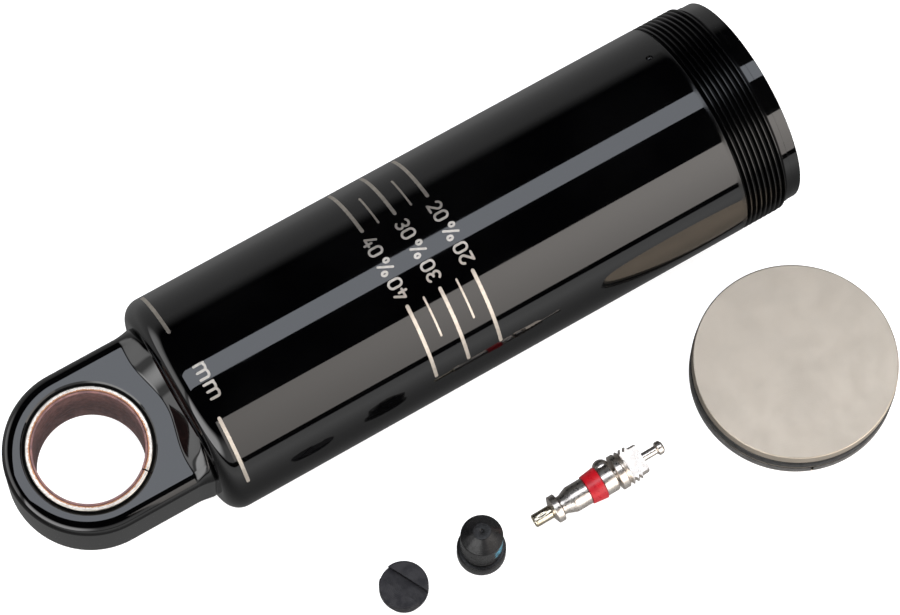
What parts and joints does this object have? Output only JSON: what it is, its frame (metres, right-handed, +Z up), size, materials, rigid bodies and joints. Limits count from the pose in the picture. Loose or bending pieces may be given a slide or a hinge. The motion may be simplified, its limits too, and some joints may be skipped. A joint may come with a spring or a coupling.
{
  "type": "rear shock damper body kit",
  "caption": "Bicycle rear-shock damper body with bushed eyelet, externally threaded open end and stroke scale, beside its loose floating piston, gas valve core and port plugs.",
  "frame": {"origin": "bottom centre of the laid-out kit's bounding box, on the bench", "axes": "+X along the damper tube's axis from the eyelet to the threaded open end; +Z up from the bench"},
  "size_m": [0.1188, 0.0648, 0.032],
  "materials": {
    "black_anodised": "gloss black hard anodised, polished",
    "scale_marks": "laser-etched pale grey lines and figures",
    "bushing_steel": "bright cut steel and bronze edge",
    "bushing_liner": "maroon low-friction liner",
    "piston_aluminium": "fine faced, satin",
    "black_rubber": "oiled black rubber",
    "glide_plastic": "dark grey filled plastic, satin",
    "nickel": "bright nickel plate",
    "brass_sleeve": "bright, pale",
    "red_rubber": "glossy red",
    "spring_steel": "drawn wire",
    "plug_black": "satin black oxide"
  },
  "bodies": {
    "damper": {"damper_body": "black_anodised", "bushing_shell": "bushing_steel", "bushing_liner": "bushing_liner"},
    "floating_piston": {"ifp_piston": "piston_aluminium", "ifp_seal": "black_rubber", "ifp_glide_ring": "glide_plastic"},
    "valve_barrel": {"core_barrel": "nickel", "core_gasket": "red_rubber", "core_spring": "spring_steel"},
    "valve_plug": {"core_plug": "nickel"},
    "valve_pin": {"core_pin": "nickel", "core_sleeve": "brass_sleeve", "core_cup": "nickel", "core_cup_seal": "black_rubber"},
    "cone_plug_set": {"cone_plug": "plug_black", "cone_plug_o_ring": "black_rubber"},
    "slotted_plug_set": {"slotted_plug": "plug_black", "slotted_plug_o_ring": "black_rubber"}
  },
  "joints": [
    {"name": "floating_piston_lift", "type": "slide", "parent": "damper", "child": "floating_piston", "axis": [0, 0, 1], "range_m": [0, 0.04]},
    {"name": "valve_core_lift", "type": "slide", "parent": "damper", "child": "valve_barrel", "axis": [0, 0, 1], "range_m": [0, 0.04]},
    {"name": "cone_plug_lift", "type": "slide", "parent": "damper", "child": "cone_plug_set", "axis": [0, 0, 1], "range_m": [0, 0.04]},
    {"name": "slotted_plug_lift", "type": "slide", "parent": "damper", "child": "slotted_plug_set", "axis": [0, 0, 1], "range_m": [0, 0.04]},
    {"name": "core_plug_swivel", "type": "hinge", "parent": "valve_barrel", "child": "valve_plug", "pos_m": [0.00173, -0.01823, 0.00184], "axis": [0.9984, 0, 0.0574], "continuous": true},
    {"name": "core_pin_press", "type": "slide", "parent": "valve_barrel", "child": "valve_pin", "axis": [-0.9984, 0, -0.0574], "range_m": [0, 0.0015], "stiffness_N_per_m": 1500, "deforming": ["core_spring"]}
  ]
}
